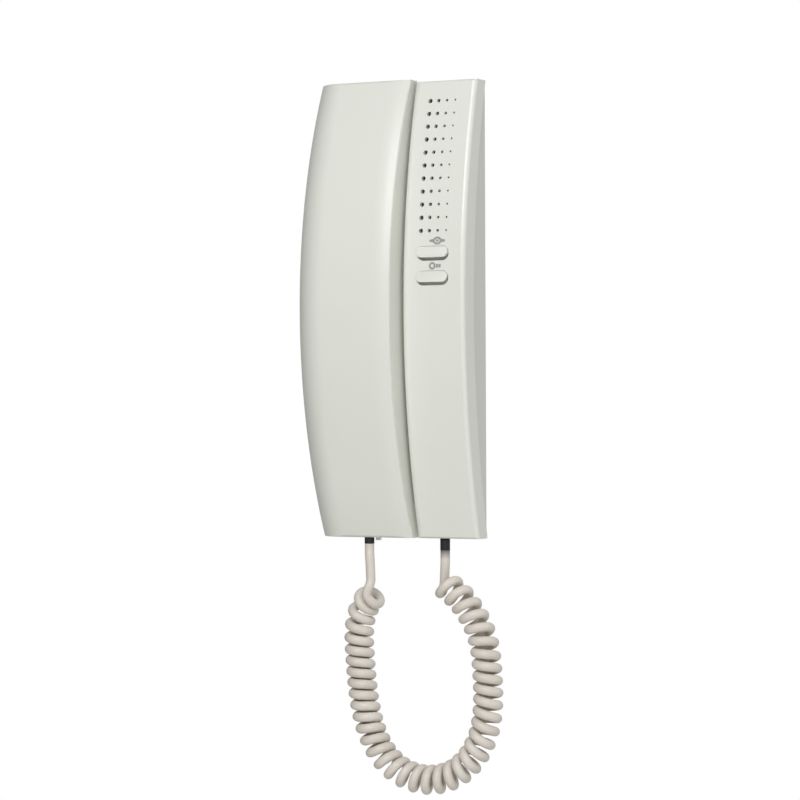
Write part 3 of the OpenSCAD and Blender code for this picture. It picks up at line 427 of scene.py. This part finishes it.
def make_sky():
    """World that the camera sees white, and that lights the object by direction."""
    world = bpy.data.worlds.new("white_studio")
    bpy.context.scene.world = world
    world.use_nodes = True
    tree = world.node_tree
    tree.nodes.clear()
    out = tree.nodes.new("ShaderNodeOutputWorld")
    mix = tree.nodes.new("ShaderNodeMixShader")
    seen = tree.nodes.new("ShaderNodeBackground")
    around = tree.nodes.new("ShaderNodeBackground")
    path = tree.nodes.new("ShaderNodeLightPath")
    place = tree.nodes.new("ShaderNodeTexCoord")
    split = tree.nodes.new("ShaderNodeSeparateXYZ")
    tree.links.new(place.outputs["Generated"], split.inputs["Vector"])
    first_axis, first_way, first_strength = SKY_SIDES[0]
    total = spread(tree, split.outputs[first_axis], SKY, SKY + first_strength, 0.0, first_way)
    for axis, way, strength in SKY_SIDES[1:]:
        part = spread(tree, split.outputs[axis], 0.0, strength, 0.0, way)
        total = calculate(tree, "ADD", part, total)
    seen.inputs["Color"].default_value = WHITE
    around.inputs["Color"].default_value = WHITE
    tree.links.new(total, around.inputs["Strength"])
    tree.links.new(path.outputs["Is Camera Ray"], mix.inputs["Fac"])
    tree.links.new(around.outputs["Background"], mix.inputs[1])
    tree.links.new(seen.outputs["Background"], mix.inputs[2])
    tree.links.new(mix.outputs["Shader"], out.inputs["Surface"])


def make_studio():
    scene = bpy.context.scene
    scene.view_settings.view_transform = "Standard"
    make_sky()
    for name, place, size, power, mirrored in SOFTBOXES:
        data = bpy.data.lights.new(name, "AREA")
        data.shape = "RECTANGLE"
        data.size, data.size_y = size
        data.energy = power
        light = bpy.data.objects.new(name, data)
        light.location = place
        light.visible_glossy = mirrored
        aim = Vector(SOFTBOX_AIM) - Vector(place)
        light.rotation_euler = aim.to_track_quat("-Z", "Y").to_euler()
        scene.collection.objects.link(light)


FLOOR_R, FLOOR_SIDES, FLOOR_RIM = 0.42, 96, 0.02
FLOOR_PLACE = (0.0, -0.08, -0.3)
FLOOR_PAINT = ("#F1F0EC", "#EDECE8", (0.6, 0.7), 900, 12, 0.05)
FLOOR_GLOW, FLOOR_LIFT = (1.0, 1.0, 0.98, 1.0), 0.35


def make_floor():
    """Pale studio floor well below the hanging cord, lifted a little for the camera alone."""
    bpy.ops.object.select_all(action="DESELECT")
    bpy.ops.mesh.primitive_circle_add(vertices=FLOOR_SIDES, radius=FLOOR_R, fill_type="NGON",
                                      location=FLOOR_PLACE)
    floor = bpy.context.object
    floor.name = "studio_floor"
    bpy.ops.object.transform_apply(location=True, rotation=True, scale=True)
    bpy.ops.object.mode_set(mode="EDIT")
    bpy.ops.mesh.select_all(action="SELECT")
    bpy.ops.mesh.inset(thickness=FLOOR_RIM, depth=0.0)
    bpy.ops.object.mode_set(mode="OBJECT")
    paint = moulded_finish("floor_paint", *FLOOR_PAINT)
    tree = paint.node_tree
    shader = tree.nodes["Principled BSDF"]
    shader.inputs["Emission Color"].default_value = FLOOR_GLOW
    path = tree.nodes.new("ShaderNodeLightPath")
    lift = spread(tree, path.outputs["Is Camera Ray"], 0.0, FLOOR_LIFT)
    tree.links.new(lift, shader.inputs["Emission Strength"])
    floor.data.materials.append(paint)


# Cord: the route of the part's source and its curls, in millimetres and degrees
CORD_D = 4.5
CURL_R = 4.95
CURL_GAP = 0.6
CURL_STRETCH = 1.1
CURL_START, CURL_END = 75, 165
BASE_PULL, HANDSET_PULL = 8, 13
CURL_ROUTE = np.array([
    [25.8, -8, -130.9], [29, -8, -133.2], [33.4, -8, -136.7], [37.4, -8, -141.4],
    [41, -8, -146.6], [43.9, -8, -152.4], [45.9, -8, -159], [47, -8, -167],
    [47.6, -8, -176], [47.7, -8, -185], [46.9, -8, -194], [44.4, -8, -203.2],
    [38.6, -8, -213], [29, -8, -220.8], [16.2, -8, -223.8], [3.4, -8, -221.2],
    [-6.8, -8, -213.6], [-13.3, -8, -202.6], [-16.8, -8, -190.5], [-18.6, -8, -178.5],
    [-19.6, -8, -167], [-20.1, -8, -158], [-19.7, -8, -151], [-18, -8.3, -144.8],
    [-14.7, -9.4, -139.5], [-10.4, -11.4, -136],
])
BASE_LEAD = np.array([
    [24.4, -5.2, -114.6], [24.4, -5.2, -119.1], [24.2, -4.9, -121.5], [23.9, -4.5, -124],
])
HANDSET_LEAD = np.array([
    [-14.2, -8.3, -112], [-14.2, -8.3, -116.5], [-13, -10.2, -120.5], [-11.4, -13, -125],
])

# Fineness of the cord: points between two of the route, rings in a curl, sides of the tube, and points in
# a lead, in its straight end and in the bends that join the leads to the curls
ROUTE_STEPS = 6
CURL_RINGS = 28
CORD_SIDES = 14
LEAD_POINTS = 16
STRAIGHT_SHARES = (0.33, 0.67, 1.0)
BASE_BEND_POINTS, HANDSET_BEND_POINTS = 9, 16
# Reach to either side over which the route's way at a point is taken, in millimetres
WAY_REACH = 0.5


def unit(v):
    return v / np.linalg.norm(v)


def run_along(points):
    """How far along a line each of its points is."""
    return np.concatenate([[0], np.cumsum(np.linalg.norm(np.diff(points, axis=0), axis=1))])


def through(points, u):
    """Smooth curve through points, at a place from 0 to the last point's number."""
    i = min(int(u), len(points) - 2)
    t = u - i
    a, b, c = points[max(i - 1, 0)], points[i], points[i + 1]
    d = points[min(i + 2, len(points) - 1)]
    cube = t ** 3 / 2 * (3 * b - a - 3 * c + d)
    return b + t / 2 * (c - a) + t * t / 2 * (2 * a - 5 * b + 4 * c - d) + cube


def bend(p0, w0, p1, w1, t):
    """Curve between two points that leaves and arrives along given ways."""
    start = (2 * t ** 3 - 3 * t * t + 1) * p0 + (t ** 3 - 2 * t * t + t) * w0
    return start + (3 * t * t - 2 * t ** 3) * p1 + (t ** 3 - t * t) * w1


def bend_of(a, b, c):
    """Bend of the circle through three points."""
    turn = np.linalg.norm(np.cross(b - a, c - b))
    return 2 * turn / (np.linalg.norm(b - a) * np.linalg.norm(c - b) * np.linalg.norm(c - a))


def curl_points():
    """Helix round the route, whose pitch keeps its gap on the inside of every bend."""
    last = (len(CURL_ROUTE) - 1) * ROUTE_STEPS
    fine = np.array([through(CURL_ROUTE, k / ROUTE_STEPS) for k in range(last + 1)])
    run = run_along(fine)
    whole = run[-1]
    near = [min(max(k, ROUTE_STEPS), last - ROUTE_STEPS) for k in range(last + 1)]
    bends = np.array([bend_of(fine[k - ROUTE_STEPS], fine[k], fine[k + ROUTE_STEPS]) for k in near])
    stretch = np.interp(run / whole, [0, 0.5, 1], [CURL_STRETCH, 1, 1])
    pitch = stretch * (CORD_D + CURL_GAP) / (1 - CURL_R * bends)
    turn_run = np.concatenate([[0], np.cumsum(2 * np.diff(run) / (pitch[1:] + pitch[:-1]))])
    end_share = (CURL_END - CURL_START) / 360
    turns = math.floor(turn_run[-1] - end_share) + end_share
    turn_run *= turns / turn_run[-1]

    def at(s):
        return through(CURL_ROUTE, np.interp(s, run, np.arange(last + 1)) / ROUTE_STEPS)

    curl = []
    for k in range(int(turns * CURL_RINGS) + 1):
        s = np.interp(k / CURL_RINGS, turn_run, run)
        angle = math.radians(CURL_START) + math.tau * k / CURL_RINGS
        way = unit(at(min(s + WAY_REACH, whole)) - at(max(s - WAY_REACH, 0)))
        back = np.array([0.0, 1.0, 0.0])
        back = unit(back - back.dot(way) * way)
        side = np.cross(way, back)
        curl.append(at(s) + CURL_R * (math.cos(angle) * back - math.sin(angle) * side))
    return curl


def cord_points():
    """Centre line of the cord from the base's sleeve to the handset's, and where its curls start and end."""
    curl = curl_points()
    base_way = unit(BASE_LEAD[3] - BASE_LEAD[2])
    handset_way = unit(HANDSET_LEAD[3] - HANDSET_LEAD[2])
    start_way, end_way = unit(curl[1] - curl[0]), unit(curl[-1] - curl[-2])
    base_straight = BASE_LEAD[3] + CORD_D * base_way
    handset_straight = HANDSET_LEAD[3] + CORD_D * handset_way
    points = [through(BASE_LEAD, u) for u in np.linspace(0, 3, LEAD_POINTS)]
    points += [BASE_LEAD[3] + CORD_D * f * base_way for f in STRAIGHT_SHARES]
    points += [bend(base_straight, BASE_PULL * base_way, curl[0], BASE_PULL * start_way, t)
               for t in np.linspace(0, 1, BASE_BEND_POINTS)[1:-1]]
    first = len(points)
    points += curl
    last = len(points) - 1
    points += [bend(curl[-1], HANDSET_PULL * end_way, handset_straight, -HANDSET_PULL * handset_way, t)
               for t in np.linspace(0, 1, HANDSET_BEND_POINTS)[1:-1]]
    points += [HANDSET_LEAD[3] + CORD_D * f * handset_way for f in reversed(STRAIGHT_SHARES)]
    points += [through(HANDSET_LEAD, u) for u in np.linspace(3, 0, LEAD_POINTS)]
    return np.array(points) * MM, first, last


def tube_rings(points, radius, sides):
    """Rings of a tube along points, turned as little as possible from one to the next."""
    ways = np.gradient(points, axis=0)
    ways /= np.linalg.norm(ways, axis=1)[:, None]
    u = unit(np.array([1.0, 0.0, 0.0]) - ways[0][0] * ways[0])
    angles = math.tau * np.arange(sides)[:, None] / sides
    rings = []
    for p, w in zip(points, ways):
        u = unit(u - u.dot(w) * w)
        rings.append(p + radius * (np.cos(angles) * u + np.sin(angles) * np.cross(w, u)))
    return np.array(rings)


def cord_part(name, rings, run, first, last):
    """Tube mesh from one ring to another, with a UV map: u round the cord, v along it in metres."""
    sides = rings.shape[1]
    faces = []
    uvs = []
    for i in range(last - first):
        low, high = run[first + i], run[first + i + 1]
        for k in range(sides):
            a, b = i * sides + k, i * sides + (k + 1) % sides
            left, right = k / sides, (k + 1) / sides
            faces.append((a, b, b + sides, a + sides))
            uvs += [(left, low), (right, low), (right, high), (left, high)]
    if first == 0:
        faces.append(tuple(range(sides - 1, -1, -1)))
        uvs += [(0.5, run[0])] * sides
    if last == len(rings) - 1:
        end = (last - first) * sides
        faces.append(tuple(range(end, end + sides)))
        uvs += [(0.5, run[-1])] * sides
    mesh = bpy.data.meshes.new(name)
    mesh.from_pydata([tuple(v) for v in rings[first:last + 1].reshape(-1, 3)], [], faces)
    layer = mesh.uv_layers.new(name="UVMap")
    layer.data.foreach_set("uv", np.array(uvs).ravel())
    mesh.shade_smooth()
    piece = bpy.data.objects.new(name, mesh)
    bpy.context.scene.collection.objects.link(piece)
    return piece


def join_pieces(pieces):
    """Makes pieces one, under the first one's name."""
    bpy.ops.object.select_all(action="DESELECT")
    for piece in pieces:
        piece.select_set(True)
    bpy.context.view_layer.objects.active = pieces[0]
    bpy.ops.object.join()


def merge_doubles(distance):
    """Merges the active piece's doubled points."""
    bpy.ops.object.mode_set(mode="EDIT")
    bpy.ops.mesh.select_all(action="SELECT")
    bpy.ops.mesh.remove_doubles(threshold=distance)
    bpy.ops.object.mode_set(mode="OBJECT")


def make_cord(name, finish):
    """Cord built from its leads and one part per curl, joined into one piece."""
    points, curl_first, curl_last = cord_points()
    rings = tube_rings(points, CORD_D / 2 * MM, CORD_SIDES)
    run = run_along(points)
    parts = [cord_part(name, rings, run, 0, curl_first)]
    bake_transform(parts[0])
    marks = list(range(curl_first, curl_last - CURL_RINGS // 2, CURL_RINGS)) + [curl_last]
    for first, last in zip(marks[:-1], marks[1:]):
        step = points[min(first + CURL_RINGS, curl_last)] - points[min(first, curl_last - CURL_RINGS)]
        step *= (last - first) / CURL_RINGS
        part = cord_part(name + "_turn", rings, run, first, last)
        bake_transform(part)
        parts.append(part)
    parts.append(cord_part(name + "_end", rings, run, curl_last, len(points) - 1))
    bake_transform(parts[-1])
    join_pieces(parts)
    merge_doubles(MERGE)
    cord = parts[0]
    cord.data.materials.append(finish)
    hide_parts("base_lead", "curly_cord", "handset_lead")


# Buttons, in millimetres: the eased rim's width, its least share, and the least area of a button's face
BUTTON_EASE = 0.85
BUTTON_EASE_LEAST = 0.25
BUTTON_EASE_STEPS = 5
BUTTON_FACE = 30.0
# Half of the straight part of a button's edges, and the way towards which its rim is eased most
BUTTON_STRAIGHT = 5.0
BUTTON_LEAN = np.array([0.6, 0.0, -0.8])
# Angle under which a button's facets are dissolved, and the width of slivers that the easing leaves
BUTTON_FLAT = math.radians(0.2)
BUTTON_SLIVER = 0.03


def copy_of(node, name):
    """Copy of a CAD node as a piece of its own, with its loose triangles merged."""
    bpy.ops.object.select_all(action="DESELECT")
    piece = nodes[node].copy()
    piece.data = nodes[node].data.copy()
    piece.name = name
    bpy.context.scene.collection.objects.link(piece)
    piece.select_set(True)
    bpy.context.view_layer.objects.active = piece
    merge_doubles(MERGE)
    return piece


def finish_copy(piece, node, body, finish):
    """Shades a copy, gives it its finish and lets it stand for its node."""
    bpy.ops.object.shade_smooth_by_angle(angle=SMOOTH_ANGLE)
    piece.data.materials.clear()
    piece.data.materials.append(finish)
    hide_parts(node)
    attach(piece, body)


def eased_button(name, node, body, finish):
    """Copy of a button whose front rim is rounded, most at its lower edge and right end."""
    piece = copy_of(node, name)
    bpy.ops.object.mode_set(mode="EDIT")
    bpy.ops.mesh.dissolve_limited(angle_limit=BUTTON_FLAT)
    bpy.ops.object.mode_set(mode="OBJECT")
    mesh = piece.data
    places = np.array([v.co for v in mesh.vertices])
    middle = (places.min(axis=0) + places.max(axis=0)) / 2
    large = [f for f in mesh.polygons if f.area > BUTTON_FACE * MM * MM]
    face = min(large, key=lambda f: f.center.y)
    rim = {tuple(sorted(pair)) for pair in face.edge_keys}
    straight = BUTTON_STRAIGHT * MM
    weights = mesh.attributes.new("bevel_weight_edge", "FLOAT", "EDGE")
    for edge in mesh.edges:
        if tuple(sorted(edge.vertices)) in rim:
            out = places[list(edge.vertices)].mean(axis=0) - middle
            way = unit(np.array([out[0] - np.clip(out[0], -straight, straight), 0.0, out[2]]))
            lean = max(0.0, BUTTON_LEAN.dot(way))
            weights.data[edge.index].value = BUTTON_EASE_LEAST + (1 - BUTTON_EASE_LEAST) * lean
    ease = piece.modifiers.new("ease", "BEVEL")
    ease.limit_method = "WEIGHT"
    ease.width = BUTTON_EASE * MM
    ease.segments = BUTTON_EASE_STEPS
    bpy.ops.object.modifier_apply(modifier=ease.name)
    merge_doubles(BUTTON_SLIVER * MM)
    bpy.ops.object.mode_set(mode="EDIT")
    bpy.ops.mesh.dissolve_degenerate(threshold=BUTTON_SLIVER * MM)
    bpy.ops.object.mode_set(mode="OBJECT")
    finish_copy(piece, node, body, finish)


def soft_dome(name, node, finish):
    """Copy of a rubber dome, with a mesh of its own."""
    piece = copy_of(node, name)
    finish_copy(piece, node, "base", finish)
    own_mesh(piece)


# Printed signs over the buttons, in millimetres: flat strokes that lie on the arched front cover
BASE_DEPTH, BASE_R = 25.6, 381.57
SIGN_T = 0.04
SIGN_SIDES = 40
# Rings of a sign: place across and up, width, height and stroke, or 0 for a full disc
# Bars of a sign: place across and up, width, height, and the share by which its outer end is lower
DOOR_RINGS = [(0, 0, 4.4, 3.8, 0.95), (0, 0, 1.5, 1.2, 0)]
DOOR_BARS = [(-3.05, 0, 1.9, 1.7, -0.45), (3.05, 0, 1.9, 1.7, 0.45)]
LIGHT_RINGS = [(-1.7, 0, 3.4, 3.6, 0.95)]
LIGHT_BARS = [(0.75, 0, 1.1, 2.1, 0.25), (2.1, 0, 1.2, 1.8, 0.2)]
DOOR_SIGN_PLACE, LIGHT_SIGN_PLACE = (29.9, 31.2), (29.3, 19.4)
UPRIGHT = (math.pi / 2, 0.0, 0.0)


def cover_depth(z):
    """Depth of the arched front cover off the wall at a height."""
    return BASE_DEPTH - BASE_R + math.sqrt(BASE_R * BASE_R - z * z)


def place_stroke(x, z, wide, high):
    """Gives the new flat stroke its size and place on the XZ plane."""
    piece = bpy.context.object
    piece.scale = (wide, high, 1.0)
    piece.location = (x, 0.0, z)
    bpy.ops.object.transform_apply(location=True, rotation=True, scale=True)
    return piece


def sign_ring(x, z, wide, high, stroke):
    """Oval stroke round a hole, or a full oval."""
    bpy.ops.object.select_all(action="DESELECT")
    bpy.ops.mesh.primitive_circle_add(vertices=SIGN_SIDES, radius=0.5, fill_type="NGON", rotation=UPRIGHT)
    piece = place_stroke(x, z, wide, high)
    if stroke:
        bpy.ops.object.mode_set(mode="EDIT")
        bpy.ops.mesh.select_all(action="SELECT")
        bpy.ops.mesh.inset(thickness=stroke)
        bpy.ops.mesh.delete(type="FACE")
        bpy.ops.object.mode_set(mode="OBJECT")
    return piece


def sign_bar(x, z, wide, high, taper):
    """Straight stroke that gets lower towards its outer end, the right one if taper is positive."""
    bpy.ops.object.select_all(action="DESELECT")
    bpy.ops.mesh.primitive_plane_add(size=1.0, rotation=UPRIGHT)
    piece = place_stroke(x, z, wide, high)
    outer = 1 if taper > 0 else -1
    bpy.ops.object.mode_set(mode="EDIT")
    bpy.ops.mesh.select_mode(type="VERT")
    bpy.ops.mesh.select_all(action="DESELECT")
    bpy.ops.object.mode_set(mode="OBJECT")
    for corner in piece.data.vertices:
        corner.select = (corner.co.x - x) * outer > 0
    bpy.ops.object.mode_set(mode="EDIT")
    bpy.ops.transform.resize(value=(1.0, 1.0, 1 - abs(taper)))
    bpy.ops.object.mode_set(mode="OBJECT")
    return piece


def make_sign(name, rings, bars, place, ink):
    """Joins strokes, gives them the thickness of a print and lays them on the cover."""
    strokes = [sign_ring(*ring) for ring in rings] + [sign_bar(*bar) for bar in bars]
    join_pieces(strokes)
    sign = bpy.context.object
    sign.name = name
    thick = sign.modifiers.new("print", "SOLIDIFY")
    thick.thickness = SIGN_T
    thick.offset = 0.0
    bpy.ops.object.modifier_apply(modifier=thick.name)
    bpy.ops.object.mode_set(mode="EDIT")
    bpy.ops.mesh.select_all(action="SELECT")
    bpy.ops.mesh.normals_make_consistent(inside=False)
    bpy.ops.object.mode_set(mode="OBJECT")
    x, z = place
    depth = cover_depth(z) + SIGN_T / 4
    lean = Matrix.Rotation(-math.asin(z / BASE_R), 4, "X")
    on_cover = Matrix.Translation((x * MM, -depth * MM, z * MM))
    sign.data.transform(on_cover @ lean @ Matrix.Scale(MM, 4))
    sign.data.materials.clear()
    sign.data.materials.append(ink)
    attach(sign, "base")


finishes = make_finishes()
make_camera()
make_studio()
make_floor()
make_cord("coiled_cord", finishes["cord_plastic"])
eased_button("door_button_eased", "door_button", "door_button", finishes["case_plastic"])
eased_button("light_button_eased", "light_button", "light_button", finishes["case_plastic"])
soft_dome("door_dome_soft", "door_dome", finishes["rubber_grey"])
soft_dome("light_dome_soft", "light_dome", finishes["rubber_grey"])
make_sign("door_sign", DOOR_RINGS, DOOR_BARS, DOOR_SIGN_PLACE, finishes["sign_ink"])
make_sign("light_sign", LIGHT_RINGS, LIGHT_BARS, LIGHT_SIGN_PLACE, finishes["sign_ink"])
